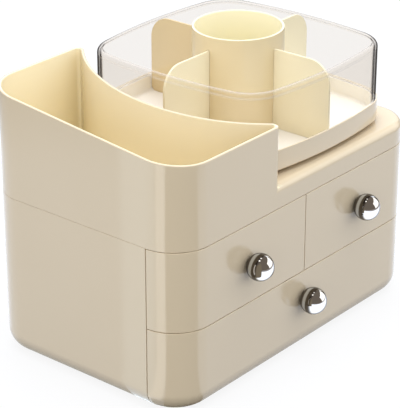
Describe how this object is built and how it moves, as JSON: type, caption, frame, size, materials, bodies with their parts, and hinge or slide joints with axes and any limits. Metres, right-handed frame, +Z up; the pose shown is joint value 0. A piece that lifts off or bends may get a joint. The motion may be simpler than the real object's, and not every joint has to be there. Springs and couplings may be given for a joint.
{
  "type": "rotating makeup organizer with drawers",
  "caption": "Rounded drawer cabinet with chrome ball knobs, an open side bin and a rotating tray that has a clear guard, dividers and a brush cup.",
  "frame": {"origin": "centre of the cabinet's flat base, on the surface it stands on", "axes": "+X to the right seen from the front, -Y is the side with the drawer fronts, +Z up"},
  "size_m": [0.3, 0.2169, 0.2372],
  "materials": {
    "cream_plastic": "semi-gloss moulded plastic",
    "warm_plastic": "semi-gloss moulded plastic, warmer cream",
    "clear_plastic": "clear polished plastic",
    "bearing_plastic": "plain moulded plastic",
    "chrome": "mirror",
    "steel": "bright zinc"
  },
  "bodies": {
    "cabinet": {"cabinet_shell": "cream_plastic", "middle_shelf": "cream_plastic", "centre_partition": "cream_plastic", "top_cover": "cream_plastic", "lower_race": "bearing_plastic", "pivot_bolt": "steel", "pivot_sleeve": "steel", "pivot_upper_washer": "steel", "pivot_lower_washer": "steel", "pivot_nut": "steel"},
    "lower_drawer": {"lower_drawer_tray": "cream_plastic", "lower_drawer_front": "cream_plastic", "lower_knob": "chrome", "lower_knob_screw": "steel"},
    "upper_left_drawer": {"upper_left_drawer_tray": "cream_plastic", "upper_left_drawer_front": "cream_plastic", "upper_left_knob": "chrome", "upper_left_knob_screw": "steel"},
    "upper_right_drawer": {"upper_right_drawer_tray": "cream_plastic", "upper_right_drawer_front": "cream_plastic", "upper_right_knob": "chrome", "upper_right_knob_screw": "steel"},
    "bearing": {"ball_cage": "bearing_plastic", "bearing_balls": "steel"},
    "carousel": {"upper_race": "bearing_plastic", "race_screws": "steel", "carousel_tray": "cream_plastic", "clear_guard": "clear_plastic", "brush_cup": "warm_plastic", "divider_right": "warm_plastic", "divider_back": "warm_plastic", "divider_left": "warm_plastic", "divider_front": "warm_plastic"}
  },
  "joints": [
    {"name": "lower_drawer_slide", "type": "slide", "parent": "cabinet", "child": "lower_drawer", "axis": [0, -1, 0], "range_m": [0, 0.13]},
    {"name": "upper_left_drawer_slide", "type": "slide", "parent": "cabinet", "child": "upper_left_drawer", "axis": [0, -1, 0], "range_m": [0, 0.13]},
    {"name": "upper_right_drawer_slide", "type": "slide", "parent": "cabinet", "child": "upper_right_drawer", "axis": [0, -1, 0], "range_m": [0, 0.13]},
    {"name": "carousel_spin", "type": "hinge", "parent": "cabinet", "child": "carousel", "pos_m": [0.043, 0.0041, 0.1499], "axis": [0, 0, 1], "continuous": true},
    {"name": "bearing_spin", "type": "hinge", "parent": "cabinet", "child": "bearing", "pos_m": [0.043, 0.0041, 0.1499], "axis": [0, 0, 1], "continuous": true}
  ],
  "couplings": [
    {"joint": "bearing_spin", "follows": "carousel_spin", "ratio": 0.5}
  ]
}
